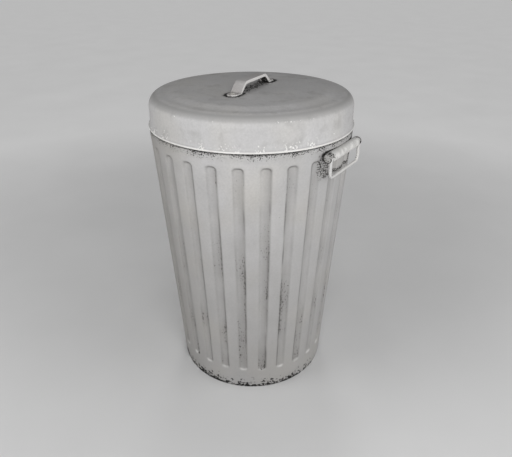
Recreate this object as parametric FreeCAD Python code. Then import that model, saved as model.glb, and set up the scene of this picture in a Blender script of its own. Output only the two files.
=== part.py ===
import FreeCAD, Part
import math
import os

# A round steel dustbin with a fluted, tapered wall, two drop handles and a lift-off lid.
# Millimetres, +Z up. The origin is on the floor, at the middle of the base.
# One drop handle is on +X and the other on -X; -Y is the front.

V = FreeCAD.Vector
UP = V(0, 0, 1)
ORIGIN = V(0, 0, 0)
FULL_TURN = 360.0
HALF_TURN = FULL_TURN / 2
QUARTER_TURN = FULL_TURN / 4

# Can wall: a rolled sheet, straight and tapered up to a shoulder, then a neck that the lid covers
BASE_RADIUS = 186.5
SHOULDER_RADIUS = 228.5
SHOULDER_HEIGHT = 630.0
SHOULDER_BEND = 4.0
NECK_STEP = 10.0
NECK_BEND = 3.0
NECK_HEIGHT = 57.5
SHEET = 0.8
RIM_WIRE_DIAMETER = 3.6

# Flutes pressed into the wall; a flat land faces each handle
FLUTE_COUNT = 26
FLUTE_BOTTOM_HEIGHT = 57.0
FLUTE_TOP_BELOW_SHOULDER = 26.0
FLUTE_BOTTOM_WIDTH = 20.6
FLUTE_TOP_WIDTH = 24.7
FLUTE_DEPTH = 4.0
FLUTE_CORNER = 9.0
FLUTE_SIDE_SLOPE = 45.0

# Lock seam where the rolled sheet closes, on the land nearest the back
SEAM_WIDTH = 9.0
SEAM_RISE = 0.9
SEAM_FOOT_HEIGHT = 14.0
SEAM_TOP_BELOW_SHOULDER = 8.0

# Bottom pan, held by a hem that the wall's lower edge folds round its flange
PAN_HEIGHT = 20.0
PAN_BEND = 8.0
PAN_BORDER = 45.5
PAN_CROWN = 4.0
PAN_CROWN_SLOPE_RUN = 20.0
PAN_CROWN_BEND = 40.0
HEM_HEIGHT = 12.0
HEM_BEND = 0.2
HEM_FIT = 0.1

# Side handle: a hollow hood welded across the wall, and a wire bail that hangs in it
HOOD_BELOW_SHOULDER = 21.0
HOOD_BEYOND_LEG = 8.0
HOOD_DIAMETER = 21.5
HOOD_SHEET = 2.0
HOOD_END_ROUND = 8.0
HOOD_AXIS_OUTSIDE_WALL = 3.0
WELD_FIT = 0.05
BAIL_WIRE_DIAMETER = 6.0
BAIL_WIDTH = 132.0
BAIL_DROP = 40.0
BAIL_TOP_BEND = 6.0
BAIL_LOWER_BEND = 11.0
BAIL_BUTT_GAP = 1.0
BAIL_SEAT_ANGLE = 18.0
BAIL_FIT = 0.3
SLOT_SIDE_CLEARANCE = 2.0
SLOT_SWING_CLEARANCE = 2.5

# Lid: a pressed cap whose rounded corner sits on the can's rolled rim
LID_SHEET = 0.8
LID_CORNER = 26.0
LID_RIM_CLEARANCE = 1.5
LID_REST_GAP = 0.3
LID_EDGE_GAP = 3.0
LID_EDGE_WIRE_DIAMETER = 3.2
LID_BORDER = 10.0
LID_CROWN = 4.0
LID_CROWN_SLOPE_RUN = 24.0
LID_CROWN_BEND = 80.0
LID_TURN = 7.0

# Lid handle: a pressed strap with turned-down edges on two riveted feet, and a washer under each
STRAP_WIDTH = 24.0
STRAP_SHEET = 2.5
STRAP_EDGE_DEPTH = 6.0
STRAP_RISE = 23.0
STRAP_TOP_LENGTH = 96.0
STRAP_LEG_RUN = 23.0
STRAP_FOOT_LENGTH = 25.0
STRAP_TOP_BEND = 6.0
STRAP_FOOT_BEND = 6.0
RIVET_DIAMETER = 6.0
RIVET_HEAD_DIAMETER = 12.0
RIVET_HEAD_HEIGHT = 3.6
RIVET_TAIL_DIAMETER = 10.0
RIVET_TAIL_HEIGHT = 2.0
RIVET_FIT = 0.05
WASHER_DIAMETER = 18.0
WASHER_THICKNESS = 1.2

# Rolled edges: a wire with the sheet curled round it, open where the curl ends
WIRE_FIT = 0.25
CURL_SWEEP = 300.0

# How far a cutting shape runs past what it cuts
OVERCUT = 10.0

# Places and sizes that follow from the values above
WALL_SLOPE = math.atan2(SHOULDER_RADIUS - BASE_RADIUS, SHOULDER_HEIGHT)
FLUTE_PITCH = FULL_TURN / FLUTE_COUNT
NECK_RADIUS = SHOULDER_RADIUS - NECK_STEP
RIM_HEIGHT = SHOULDER_HEIGHT + NECK_HEIGHT
RIM_CURL_INNER = RIM_WIRE_DIAMETER / 2 + WIRE_FIT
RIM_CURL_OUTER = RIM_CURL_INNER + SHEET
RIM_CURL_RADIUS = NECK_RADIUS - SHEET + RIM_CURL_OUTER
RIM_CURL_HEIGHT = RIM_HEIGHT - RIM_CURL_OUTER

SKIRT_INNER_RADIUS = RIM_CURL_RADIUS + RIM_CURL_OUTER + LID_RIM_CLEARANCE
SKIRT_RADIUS = SKIRT_INNER_RADIUS + LID_SHEET
LID_CURL_INNER = LID_EDGE_WIRE_DIAMETER / 2 + WIRE_FIT
LID_CURL_OUTER = LID_CURL_INNER + LID_SHEET
LID_CURL_RADIUS = SKIRT_INNER_RADIUS + LID_CURL_OUTER
LID_CURL_HEIGHT = SHOULDER_HEIGHT + LID_EDGE_GAP + LID_CURL_OUTER
# The lid's corner arc touches the rim's curl from above, less the rest gap
CORNER_TO_CURL = LID_CORNER - LID_SHEET - RIM_CURL_OUTER
CORNER_REACH = CORNER_TO_CURL - LID_REST_GAP
CORNER_INSET = CORNER_TO_CURL - LID_RIM_CLEARANCE
CORNER_BELOW_CURL = math.sqrt(CORNER_REACH ** 2 - CORNER_INSET ** 2)
LID_TOP_HEIGHT = RIM_CURL_HEIGHT - CORNER_BELOW_CURL + LID_CORNER
LID_PANEL_HEIGHT = LID_TOP_HEIGHT + LID_CROWN
LID_CROWN_FOOT_RADIUS = SKIRT_RADIUS - LID_CORNER - LID_BORDER
LID_CROWN_RADIUS = LID_CROWN_FOOT_RADIUS - LID_CROWN_SLOPE_RUN

HOOD_RADIUS = HOOD_DIAMETER / 2
HOOD_LENGTH = BAIL_WIDTH + 2 * HOOD_BEYOND_LEG
HOOD_HEIGHT = SHOULDER_HEIGHT - HOOD_BELOW_SHOULDER
HOOD_AXIS_RADIUS = BASE_RADIUS + HOOD_HEIGHT * math.tan(WALL_SLOPE) + HOOD_AXIS_OUTSIDE_WALL
BAIL_WIRE_RADIUS = BAIL_WIRE_DIAMETER / 2
BAIL_SEAT_REACH = HOOD_RADIUS - HOOD_SHEET - BAIL_WIRE_RADIUS - BAIL_FIT
BAIL_SEAT_RADIANS = math.radians(BAIL_SEAT_ANGLE)
BAIL_PIVOT = V(
    HOOD_AXIS_RADIUS + BAIL_SEAT_REACH * math.cos(BAIL_SEAT_RADIANS),
    0,
    HOOD_HEIGHT - BAIL_SEAT_REACH * math.sin(BAIL_SEAT_RADIANS),
)
STRAP_LENGTH = STRAP_TOP_LENGTH + 2 * (STRAP_LEG_RUN + STRAP_FOOT_LENGTH)
RIVET_PLACE = STRAP_LENGTH / 2 - STRAP_WIDTH / 2


# Outlines and sheet sections

def wall_radius(height):
    """Outer radius of the straight wall at a height."""
    return BASE_RADIUS + height * math.tan(WALL_SLOPE)


def corner_arc(before, corner, after, bend):
    """Start, middle and end of the arc that rounds a corner."""
    to_before = (before - corner).normalize()
    to_after = (after - corner).normalize()
    half_angle = to_before.getAngle(to_after) / 2
    reach = bend / math.tan(half_angle)
    inwards = (to_before + to_after).normalize()
    middle = corner + inwards * (bend / math.sin(half_angle) - bend)
    return corner + to_before * reach, middle, corner + to_after * reach


def rounded_path(points, bends):
    """Edges of an open path whose inner corners are rounded."""
    edges = []
    start = points[0]
    for before, corner, after, bend in zip(points, points[1:], points[2:], bends):
        arc_start, arc_middle, arc_end = corner_arc(before, corner, after, bend)
        edges.append(Part.LineSegment(start, arc_start).toShape())
        edges.append(Part.Arc(arc_start, arc_middle, arc_end).toShape())
        start = arc_end
    edges.append(Part.LineSegment(start, points[-1]).toShape())
    return edges


def rounded_loop(corners, bend):
    """Closed wire through corners that all have the same rounding."""
    befores = corners[-1:] + corners[:-1]
    afters = corners[1:] + corners[:1]
    arcs = [corner_arc(b, c, a, bend) for b, c, a in zip(befores, corners, afters)]
    edges = []
    for arc, following in zip(arcs, arcs[1:] + arcs[:1]):
        edges.append(Part.Arc(*arc).toShape())
        edges.append(Part.LineSegment(arc[2], following[0]).toShape())
    return Part.Wire(edges)


def path_normals(points):
    """Left-hand normals of a path's runs, in the XZ plane."""
    runs = [(b - a).normalize() for a, b in zip(points, points[1:])]
    return [V(-run.z, 0, run.x) for run in runs]


def offset_points(points, distance):
    """The path's points moved to its left by a distance, corners mitred."""
    normals = path_normals(points)
    moved = [points[0] + normals[0] * distance]
    for corner, first, second in zip(points[1:-1], normals, normals[1:]):
        mitre = first + second
        moved.append(corner + mitre * (2 * distance / mitre.Length ** 2))
    moved.append(points[-1] + normals[-1] * distance)
    return moved


def offset_bends(points, bends, distance):
    """Bend radii of the path moved to its left: smaller in left turns, larger in right ones."""
    normals = path_normals(points)
    turns = [first.z * second.x - first.x * second.z for first, second in zip(normals, normals[1:])]
    return [bend + math.copysign(distance, turn) for bend, turn in zip(bends, turns)]


def closed_face(edges):
    """Face inside edges that join end to end."""
    return Part.Face(Part.Wire(Part.__sortEdges__(edges)))


def join(start, end):
    return Part.LineSegment(start, end).toShape()


def sheet_face(points, bends, sheet):
    """Section of a bent sheet that lies to the left of a path."""
    inner_points = offset_points(points, sheet)
    edges = rounded_path(points, bends)
    edges += rounded_path(inner_points, offset_bends(points, bends, sheet))
    edges.append(join(points[0], inner_points[0]))
    edges.append(join(points[-1], inner_points[-1]))
    return closed_face(edges)


def filled_face(points, bends):
    """Section of the solid between a path and the Z axis."""
    foot = V(0, 0, points[0].z)
    top = V(0, 0, points[-1].z)
    back = [join(points[-1], top), join(top, foot), join(foot, points[0])]
    return closed_face(rounded_path(points, bends) + back)


def spun(face):
    """A section turned once round the Z axis."""
    return face.revolve(ORIGIN, UP, FULL_TURN)


def curl_face(centre, inner, outer, start_angle, sweep):
    """Section of a curled edge: part of a ring, from a start angle, in the XZ plane."""
    def arc_points(radius):
        angles = [math.radians(start_angle + turn) for turn in (0, sweep / 2, sweep)]
        return [centre + V(math.cos(angle), 0, math.sin(angle)) * radius for angle in angles]

    outer_points = arc_points(outer)
    inner_points = arc_points(inner)
    edges = [Part.Arc(*outer_points).toShape(), Part.Arc(*inner_points).toShape()]
    edges.append(join(outer_points[0], inner_points[0]))
    edges.append(join(outer_points[-1], inner_points[-1]))
    return closed_face(edges)


def turned(shape, angle):
    """A copy turned about the Z axis."""
    copy = shape.copy()
    copy.rotate(ORIGIN, UP, angle)
    return copy


# Can

def wall_path(overrun):
    """Outer face of the wall from the floor to the rim, run on past both ends."""
    return [
        V(wall_radius(-overrun), 0, -overrun),
        V(SHOULDER_RADIUS, 0, SHOULDER_HEIGHT),
        V(NECK_RADIUS, 0, SHOULDER_HEIGHT),
        V(NECK_RADIUS, 0, RIM_CURL_HEIGHT + overrun),
    ]


def flute_tool(depth, growth):
    """Pocket shape of one flute on +X, its sides sloping out to past the wall's face."""
    outward = V(math.cos(WALL_SLOPE), 0, -math.sin(WALL_SLOPE))
    along = V(math.sin(WALL_SLOPE), 0, math.cos(WALL_SLOPE))
    foot = V(BASE_RADIUS, 0, 0)
    low = FLUTE_BOTTOM_HEIGHT / math.cos(WALL_SLOPE)
    high = (SHOULDER_HEIGHT - FLUTE_TOP_BELOW_SHOULDER) / math.cos(WALL_SLOPE)
    slope = math.radians(FLUTE_SIDE_SLOPE)

    def outline(lift):
        spread = lift * math.tan(slope) + growth / math.cos(slope)
        half_low = FLUTE_BOTTOM_WIDTH / 2 + spread
        half_high = FLUTE_TOP_WIDTH / 2 + spread
        plan = [
            (-half_low, low - spread),
            (half_low, low - spread),
            (half_high, high + spread),
            (-half_high, high + spread),
        ]
        corners = [foot + V(0, side, 0) + along * rise + outward * lift for side, rise in plan]
        return rounded_loop(corners, FLUTE_CORNER + spread)

    return Part.makeLoft([outline(-depth), outline(FLUTE_DEPTH)], True, True)


def flute_tools(depth, growth):
    tool = flute_tool(depth, growth)
    first = FLUTE_PITCH / 2
    return [turned(tool, first + FLUTE_PITCH * place) for place in range(FLUTE_COUNT)]


def wall_cone(growth):
    """The wall's outside as a plain solid cone, grown outwards, past the floor and the shoulder."""
    low = -OVERCUT
    high = SHOULDER_HEIGHT + OVERCUT
    foot = V(0, 0, low)
    return Part.makeCone(wall_radius(low) + growth, wall_radius(high) + growth, high - low, foot)


def lock_seam():
    """Raised strip on the outside, sunk half a sheet into the wall."""
    top = SHOULDER_HEIGHT - SEAM_TOP_BELOW_SHOULDER
    foot = V(0, -SEAM_WIDTH / 2, SEAM_FOOT_HEIGHT)
    strip = Part.makeBox(SHOULDER_RADIUS + OVERCUT, SEAM_WIDTH, top - SEAM_FOOT_HEIGHT, foot)
    strip = strip.common(wall_cone(SEAM_RISE)).cut(wall_cone(-SHEET / 2))
    return turned(strip, FLUTE_PITCH * math.ceil(QUARTER_TURN / FLUTE_PITCH))


def base_hem():
    """The wall's lower edge, folded in under the pan's flange and up inside it."""
    wall_flange_and_lip = 3 * SHEET
    reach = wall_flange_and_lip + 2 * HEM_FIT
    path = [
        V(wall_radius(HEM_HEIGHT) - reach, 0, HEM_HEIGHT),
        V(wall_radius(0) - reach, 0, 0),
        V(wall_radius(0) - SHEET / 2, 0, 0),
    ]
    return spun(sheet_face(path, [HEM_BEND], SHEET))


def can_wall():
    bends = [SHOULDER_BEND, NECK_BEND]
    outside = spun(filled_face(wall_path(0), bends)).cut(flute_tools(FLUTE_DEPTH, 0))
    cavity_path = wall_path(OVERCUT)
    inner_path = offset_points(cavity_path, SHEET)
    cavity = spun(filled_face(inner_path, offset_bends(cavity_path, bends, SHEET)))
    cavity = cavity.cut(flute_tools(FLUTE_DEPTH + SHEET, SHEET))
    curl_centre = V(RIM_CURL_RADIUS, 0, RIM_CURL_HEIGHT)
    curl = spun(curl_face(curl_centre, RIM_CURL_INNER, RIM_CURL_OUTER, HALF_TURN, -CURL_SWEEP))
    return outside.cut(cavity).fuse([curl, base_hem(), lock_seam()]).removeSplitter()


def can_bottom():
    """Crowned pan whose flange stands in the wall's hem."""
    flange_inset = SHEET + HEM_FIT
    low = SHEET + HEM_FIT
    pan_radius = wall_radius(PAN_HEIGHT) - flange_inset
    crown_foot = pan_radius - PAN_BORDER
    path = [
        V(wall_radius(low) - flange_inset, 0, low),
        V(pan_radius, 0, PAN_HEIGHT),
        V(crown_foot, 0, PAN_HEIGHT),
        V(crown_foot - PAN_CROWN_SLOPE_RUN, 0, PAN_HEIGHT + PAN_CROWN),
        V(0, 0, PAN_HEIGHT + PAN_CROWN),
    ]
    return spun(sheet_face(path, [PAN_BEND, PAN_CROWN_BEND, PAN_CROWN_BEND], SHEET))


# Side handles, drawn on +X

def hood_form(inset):
    """Round-ended bar along Y, shrunk all round by an inset."""
    radius = HOOD_RADIUS - inset
    half = HOOD_LENGTH / 2 - inset
    bend = HOOD_END_ROUND - inset
    path = [V(0, half, 0), V(radius, half, 0), V(radius, -half, 0), V(0, -half, 0)]
    form = closed_face(rounded_path(path, [bend, bend]) + [join(path[-1], path[0])])
    form = form.revolve(ORIGIN, V(0, 1, 0), FULL_TURN)
    form.translate(V(HOOD_AXIS_RADIUS, 0, HOOD_HEIGHT))
    return form


def leg_slot(side):
    """Room in the hood for one leg of the bail to swing from hanging to level."""
    leg = BAIL_WIDTH / 2
    near = leg - BAIL_TOP_BEND - SLOT_SIDE_CLEARANCE / 2
    far = leg + BAIL_WIRE_RADIUS + SLOT_SIDE_CLEARANCE
    room = BAIL_WIRE_RADIUS + SLOT_SWING_CLEARANCE
    size = HOOD_DIAMETER
    low_y = near if side > 0 else -far
    corner = V(BAIL_PIVOT.x - room, low_y, BAIL_PIVOT.z + room - size)
    return Part.makeBox(size, far - near, size, corner)


def handle_hood():
    """Hollow hood, its back trimmed to the wall that it is welded to."""
    trimmed = hood_form(0).cut(wall_cone(WELD_FIT))
    return trimmed.cut(hood_form(HOOD_SHEET)).cut([leg_slot(1), leg_slot(-1)])


def bail():
    """Wire loop that hangs from its top bar; the wire's two ends meet inside the hood."""
    half = BAIL_WIDTH / 2
    low = V(0, 0, -BAIL_DROP)
    path = [
        BAIL_PIVOT + V(0, BAIL_BUTT_GAP / 2, 0),
        BAIL_PIVOT + V(0, half, 0),
        BAIL_PIVOT + V(0, half, 0) + low,
        BAIL_PIVOT + V(0, -half, 0) + low,
        BAIL_PIVOT + V(0, -half, 0),
        BAIL_PIVOT + V(0, -BAIL_BUTT_GAP / 2, 0),
    ]
    bends = [BAIL_TOP_BEND, BAIL_LOWER_BEND, BAIL_LOWER_BEND, BAIL_TOP_BEND]
    wire_section = Part.Wire(Part.makeCircle(BAIL_WIRE_RADIUS, path[0], V(0, 1, 0)))
    return Part.Wire(rounded_path(path, bends)).makePipeShell([wire_section], True, False)


# Lid

def ring_wire(radius, height, diameter):
    return Part.makeTorus(radius, diameter / 2, V(0, 0, height), UP)


def lid_places():
    """Where the two rivets stand, on the lid's crown."""
    return [turned(Part.Vertex(V(0, side * RIVET_PLACE, 0)), LID_TURN).Point for side in (-1, 1)]


def rivet_holes(low, high):
    radius = RIVET_DIAMETER / 2 + RIVET_FIT
    return [Part.makeCylinder(radius, high - low, place + V(0, 0, low)) for place in lid_places()]


def lid_shell():
    """Pressed cap with a raised middle, a deep skirt and an outward curl along its lower edge."""
    path = [
        V(SKIRT_RADIUS, 0, LID_CURL_HEIGHT),
        V(SKIRT_RADIUS, 0, LID_TOP_HEIGHT),
        V(LID_CROWN_FOOT_RADIUS, 0, LID_TOP_HEIGHT),
        V(LID_CROWN_RADIUS, 0, LID_PANEL_HEIGHT),
        V(0, 0, LID_PANEL_HEIGHT),
    ]
    cap = spun(sheet_face(path, [LID_CORNER, LID_CROWN_BEND, LID_CROWN_BEND], LID_SHEET))
    curl_centre = V(LID_CURL_RADIUS, 0, LID_CURL_HEIGHT)
    curl = spun(curl_face(curl_centre, LID_CURL_INNER, LID_CURL_OUTER, HALF_TURN, CURL_SWEEP))
    holes = rivet_holes(LID_PANEL_HEIGHT - OVERCUT, LID_PANEL_HEIGHT + OVERCUT)
    return cap.fuse(curl).removeSplitter().cut(holes)


def strap_section(path, bends, depth, width):
    """Bar of a width whose upper face follows a path and whose lower face runs a depth below it."""
    bar = sheet_face(path, bends, depth).extrude(V(0, width, 0))
    bar.translate(V(0, -width / 2, 0))
    return bar


def lid_handle():
    """Strap bent up between two flat, round-ended feet, hollow below between its turned-down edges."""
    top = STRAP_TOP_LENGTH / 2
    foot = top + STRAP_LEG_RUN
    end = STRAP_LENGTH / 2
    upper_path = [
        V(end, 0, STRAP_SHEET),
        V(foot, 0, STRAP_SHEET),
        V(top, 0, STRAP_RISE),
        V(-top, 0, STRAP_RISE),
        V(-foot, 0, STRAP_SHEET),
        V(-end, 0, STRAP_SHEET),
    ]
    top_bend = STRAP_TOP_BEND + STRAP_EDGE_DEPTH
    upper_bends = [STRAP_FOOT_BEND, top_bend, top_bend, STRAP_FOOT_BEND]
    strap = strap_section(upper_path, upper_bends, STRAP_EDGE_DEPTH, STRAP_WIDTH)
    round_end = STRAP_WIDTH / 2
    straight = end - round_end
    plan = [Part.makeCylinder(round_end, STRAP_RISE, V(side * straight, 0, 0)) for side in (-1, 1)]
    middle = Part.makeBox(2 * straight, STRAP_WIDTH, STRAP_RISE, V(-straight, -round_end, 0))
    strap = strap.common(middle.fuse(plan).removeSplitter())
    lower_path = offset_points(upper_path, STRAP_SHEET)
    lower_bends = offset_bends(upper_path, upper_bends, STRAP_SHEET)
    between_edges = STRAP_WIDTH - 2 * STRAP_SHEET
    strap = strap.cut(strap_section(lower_path, lower_bends, STRAP_EDGE_DEPTH, between_edges))
    strap.translate(V(0, 0, LID_PANEL_HEIGHT))
    strap = turned(strap, QUARTER_TURN + LID_TURN)
    return strap.cut(rivet_holes(LID_PANEL_HEIGHT - OVERCUT, LID_PANEL_HEIGHT + STRAP_RISE))


def rivet():
    """Domed head on the strap, shank through strap, lid and washer, flat tail below."""
    head_low = STRAP_SHEET
    tail_high = -LID_SHEET - WASHER_THICKNESS
    tail_low = tail_high - RIVET_TAIL_HEIGHT
    head = RIVET_HEAD_DIAMETER / 2
    shank = RIVET_DIAMETER / 2
    tail = RIVET_TAIL_DIAMETER / 2
    dome_radius = (head ** 2 + RIVET_HEAD_HEIGHT ** 2) / (2 * RIVET_HEAD_HEIGHT)
    crown = V(0, 0, head_low + RIVET_HEAD_HEIGHT)
    brim = V(head, 0, head_low)
    half_angle = math.asin(head / dome_radius) / 2
    between = crown + V(dome_radius * math.sin(half_angle), 0, dome_radius * (math.cos(half_angle) - 1))
    outline = [
        brim,
        V(shank, 0, head_low),
        V(shank, 0, tail_high),
        V(tail, 0, tail_high),
        V(tail, 0, tail_low),
        V(0, 0, tail_low),
        crown,
    ]
    edges = [Part.Arc(crown, between, brim).toShape()]
    edges += [join(start, end) for start, end in zip(outline, outline[1:])]
    return spun(closed_face(edges))


def washer():
    """Flat ring under the lid, round the rivet's shank."""
    under = V(0, 0, -LID_SHEET - WASHER_THICKNESS)
    disc = Part.makeCylinder(WASHER_DIAMETER / 2, WASHER_THICKNESS, under)
    hole = Part.makeCylinder(RIVET_DIAMETER / 2 + RIVET_FIT, WASHER_THICKNESS, under)
    return disc.cut(hole)


def at_rivets(shape):
    """One copy of a piece at each rivet's place on the lid."""
    copies = []
    for place in lid_places():
        copy = shape.copy()
        copy.translate(place + V(0, 0, LID_PANEL_HEIGHT))
        copies.append(copy)
    return Part.makeCompound(copies)


def build():
    hood = handle_hood()
    loop = bail()
    return {
        "can_wall": can_wall(),
        "can_rim_wire": ring_wire(RIM_CURL_RADIUS, RIM_CURL_HEIGHT, RIM_WIRE_DIAMETER),
        "can_bottom": can_bottom(),
        "right_handle_hood": hood,
        "left_handle_hood": turned(hood, HALF_TURN),
        "right_bail": loop,
        "left_bail": turned(loop, HALF_TURN),
        "lid_shell": lid_shell(),
        "lid_edge_wire": ring_wire(LID_CURL_RADIUS, LID_CURL_HEIGHT, LID_EDGE_WIRE_DIAMETER),
        "lid_handle": lid_handle(),
        "lid_handle_rivets": at_rivets(rivet()),
        "lid_rivet_washers": at_rivets(washer()),
    }


os.makedirs("parts", exist_ok=True)
for name, shape in build().items():
    shape.exportStep(os.path.join("parts", name + ".step"))
    state = "valid" if shape.isValid() else "NOT VALID"
    print(name, len(shape.Solids), "solids", round(shape.Volume), "mm3", state)
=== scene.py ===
import math
import bpy
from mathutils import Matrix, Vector


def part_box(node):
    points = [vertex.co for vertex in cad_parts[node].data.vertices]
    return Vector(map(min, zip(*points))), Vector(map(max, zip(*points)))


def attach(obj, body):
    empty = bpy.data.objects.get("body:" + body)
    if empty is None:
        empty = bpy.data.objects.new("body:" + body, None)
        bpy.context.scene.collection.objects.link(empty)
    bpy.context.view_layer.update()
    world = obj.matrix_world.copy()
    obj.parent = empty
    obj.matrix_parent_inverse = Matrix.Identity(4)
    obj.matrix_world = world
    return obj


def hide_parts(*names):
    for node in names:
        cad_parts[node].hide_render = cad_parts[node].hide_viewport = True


# A worn, grey-painted steel dustbin with a fluted wall, a lift-off lid and two drop handles.
# Metres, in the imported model's own frame: floor at zero, handles on +X and -X, front on -Y.

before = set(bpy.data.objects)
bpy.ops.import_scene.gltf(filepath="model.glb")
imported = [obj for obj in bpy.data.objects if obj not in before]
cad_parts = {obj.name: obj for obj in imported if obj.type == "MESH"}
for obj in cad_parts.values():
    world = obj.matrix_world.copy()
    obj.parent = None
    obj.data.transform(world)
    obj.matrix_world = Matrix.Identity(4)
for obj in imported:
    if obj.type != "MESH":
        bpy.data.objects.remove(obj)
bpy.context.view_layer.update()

# Can wall
BASE_RADIUS = 0.1865
SHOULDER_RADIUS = 0.2285
SHOULDER_HEIGHT = 0.630
SHOULDER_BEND = 0.004
NECK_RADIUS = 0.2185
NECK_BEND = 0.003
SHEET = 0.0008
HEM_HEIGHT = 0.012
HEM_WIDTH = 0.0026
HEM_BEND = 0.0006
RIM_CURL = 0.00205
RIM_CURL_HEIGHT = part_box("can_wall")[1].z - RIM_CURL - SHEET
CURL_SWEEP = math.radians(300)

# Flutes pressed into the wall
FLUTE_COUNT = 26
FLUTE_LOW = 0.057
FLUTE_HIGH = 0.604
FLUTE_LOW_WIDTH = 0.0206
FLUTE_HIGH_WIDTH = 0.0247
FLUTE_DEPTH = 0.004
FLUTE_CORNER = 0.009
FLUTE_SIDE_RUN = 0.004
FLUTE_EDGE_ROUND = 0.0020
COLUMNS_PER_FLUTE = 20
END_ROW = 0.0015
END_REACH = 0.014
ROWS_BEYOND = 3
MIDDLE_ROW = 0.05

# Lock seam at the back
SEAM_WIDTH = 0.009
SEAM_RISE = 0.0009
SEAM_LOW = 0.014
SEAM_HIGH = 0.622
SEAM_AZIMUTH = math.radians(7 * 360 / FLUTE_COUNT)
SEAM_EDGE = 0.0005

# Lid
SKIRT_RADIUS = 0.2257
LID_SHEET = 0.0008
LID_CORNER = 0.026
LID_BEAD = 0.00265
LID_BEAD_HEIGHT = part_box("lid_shell")[0].z + LID_BEAD
LID_BEAD_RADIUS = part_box("lid_shell")[1].y - LID_BEAD
LID_FLARE_BEND = 0.006
LID_FLARE_ANGLE = math.radians(60)
LID_BEAD_SWEEP = math.radians(260)
LID_PANEL_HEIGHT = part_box("lid_shell")[1].z
LID_CROWN = 0.004
LID_CROWN_RADIUS = 0.1657
LID_CROWN_FOOT = 0.1897
LID_CROWN_BEND = 0.080
LID_COLUMNS = 288

# Strap handle on the lid, pressed from sheet with its edges turned down
STRAP_WIDTH = 0.024
STRAP_SHEET = 0.0025
STRAP_EDGE_DEPTH = 0.006
STRAP_RISE = 0.023
STRAP_TOP = 0.048
STRAP_FOOT = 0.071
STRAP_END = 0.096
STRAP_TOP_BEND = 0.022
STRAP_FOOT_BEND = 0.008
STRAP_TURN = math.radians(97)
STRAP_ROUNDED_EDGE = 0.0010

# Side handles
HOOD_HEIGHT = 0.609
HOOD_HALF_LENGTH = 0.074
HOOD_RADIUS = 0.01075
BAIL_LEG = 0.066
BAIL_WIRE = 0.006
KNOCK_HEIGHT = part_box("right_bail")[0].z + BAIL_WIRE / 2

ARC_STEPS = 6
CURL_STEPS = 14
SMOOTH_ANGLE = math.radians(38)
MERGE_DISTANCE = 0.00002


def wall_radius(height):
    """Outer radius of the straight wall at a height."""
    return BASE_RADIUS + (SHOULDER_RADIUS - BASE_RADIUS) * height / SHOULDER_HEIGHT


def arc(centre, radius, start, sweep, steps):
    """Points along an arc in the plane of radius and height, both ends included."""
    angles = [start + sweep * step / steps for step in range(steps + 1)]
    return [(centre[0] + radius * math.cos(a), centre[1] + radius * math.sin(a)) for a in angles]


def rounded(points, bends, steps):
    """The outline through points, with each inner corner turned into an arc of its bend radius."""
    outline = [points[0]]
    for before, corner, after, bend in zip(points, points[1:], points[2:], bends):
        corner = Vector(corner)
        back = (Vector(before) - corner).normalized()
        ahead = (Vector(after) - corner).normalized()
        half = back.angle(ahead) / 2
        middle = corner + (back + ahead).normalized() * (bend / math.sin(half))
        first = corner + back * (bend / math.tan(half)) - middle
        last = corner + ahead * (bend / math.tan(half)) - middle
        start = math.atan2(first.y, first.x)
        sweep = math.remainder(math.atan2(last.y, last.x) - start, math.tau)
        outline += arc(middle, bend, start, sweep, steps)
    return outline + [points[-1]]


def below(outline, depth):
    """An outline moved down, square to its own run, by a depth."""
    points = [Vector(point) for point in outline]
    runs = [(b - a).normalized() for a, b in zip(points, points[1:])]
    directions = [(a + b).normalized() for a, b in zip(runs[:1] + runs, runs + runs[-1:])]
    return [(p.x + d.y * depth, p.y - d.x * depth) for p, d in zip(points, directions)]


# Materials

# Real sizes of the patterns and marks, in metres
CLOUD_SIZE = 0.060
WARM_PATCH_SIZE = 0.110
MOTTLE_SIZE = 0.004
ORANGE_PEEL_SIZE = 0.0016
ORANGE_PEEL_DEPTH = 0.00003
WEAR_PATCH_SIZE = 0.045
SPECK_SIZE = 0.004
FINE_SPECK_SIZE = 0.0026
CHIP_SIZE = 0.0070
CHIP_DEPTH = 0.00015
STAIN_WIDTH = 0.010
SMUDGE_SIZE = 0.030
RUBBED_PATCH_SIZE = 0.014
SPANGLE_SIZE = 0.009
INNER_STAIN_SIZE = 0.045
WIRE_LINE_SIZE = 0.0006  # about ten times as coarse as real drawing lines, which are too fine to show
FLOOR_PATCH_SIZE = 0.35

# Scale of a pattern along the way that dirt runs or wire is drawn: less draws it out longer
WEAR_STRETCH = 0.45
STAIN_STRETCH = 0.12
GRIME_STRETCH = 0.25
WIRE_STRETCH = 0.02

# The bin is lit from this side; the flute sides turned away from it get painted shade
LIGHT_FROM_AZIMUTH = math.radians(34)
SPOT_LEVEL = 0.76
SPOT_EDGE = 0.03
PAINT_ROUGHNESS = 0.6
HAND_WORN_ROUGHNESS = 0.5
BAIL_ROUGHNESS = 0.42
BARE_ROUGHNESS = 0.85


def linear(hex_colour):
    """An sRGB hex colour as linear red, green, blue and alpha."""
    shares = [int(hex_colour[place:place + 2], 16) / 255 for place in (1, 3, 5)]
    return [s / 12.92 if s <= 0.04045 else ((s + 0.055) / 1.055) ** 2.4 for s in shares] + [1.0]


def add_node(tree, kind, inputs=None, output=0, **settings):
    """One output of a new node with its settings; each input takes a link from a socket, or a value."""
    node = tree.nodes.new(kind)
    for name, value in settings.items():
        setattr(node, name, value)
    for key, value in (inputs or {}).items():
        if isinstance(value, bpy.types.NodeSocket):
            tree.links.new(value, node.inputs[key])
        else:
            node.inputs[key].default_value = value
    return node.outputs[output]


def start_material(name):
    """A new material, its tree and shader, and the place on the piece in metres."""
    material = bpy.data.materials.new(name)
    material.use_nodes = True
    tree = material.node_tree
    place = add_node(tree, "ShaderNodeTexCoord", output="Object")
    return material, tree, tree.nodes["Principled BSDF"], place


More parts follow.
